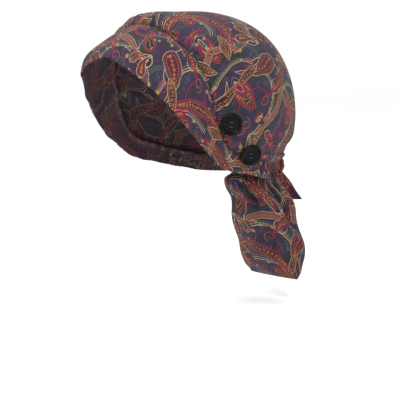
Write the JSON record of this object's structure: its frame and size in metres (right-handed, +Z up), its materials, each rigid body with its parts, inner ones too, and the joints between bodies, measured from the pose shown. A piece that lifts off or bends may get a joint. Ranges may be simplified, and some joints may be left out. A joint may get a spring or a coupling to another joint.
{
  "type": "work cap",
  "caption": "Soft printed cloth work cap with a turned-up front band, a hair pouch drawn in by a tie at the nape and side buttons to hook loops on.",
  "frame": {"origin": "middle of the head that the cap is worn on, about 94 mm below the top of the cap", "axes": "+Z up, the wearer faces -Y, the wearer's left side is +X"},
  "size_m": [0.2007, 0.2298, 0.2748],
  "materials": {
    "band_print": "plain woven printed cotton",
    "crown_print": "plain woven printed cotton",
    "pouch_print": "plain woven printed cotton",
    "tie_print": "folded and stitched printed cotton",
    "button_black": "polished black"
  },
  "bodies": {
    "root": {"front_band": "band_print", "crown": "crown_print", "ponytail_pouch": "pouch_print", "tie_wrap": "tie_print", "tie_knot": "tie_print", "tie_end_left": "tie_print", "tie_end_right": "tie_print", "button_upper_left": "button_black", "button_upper_right": "button_black", "button_lower_left": "button_black", "button_lower_right": "button_black"}
  },
  "joints": []
}
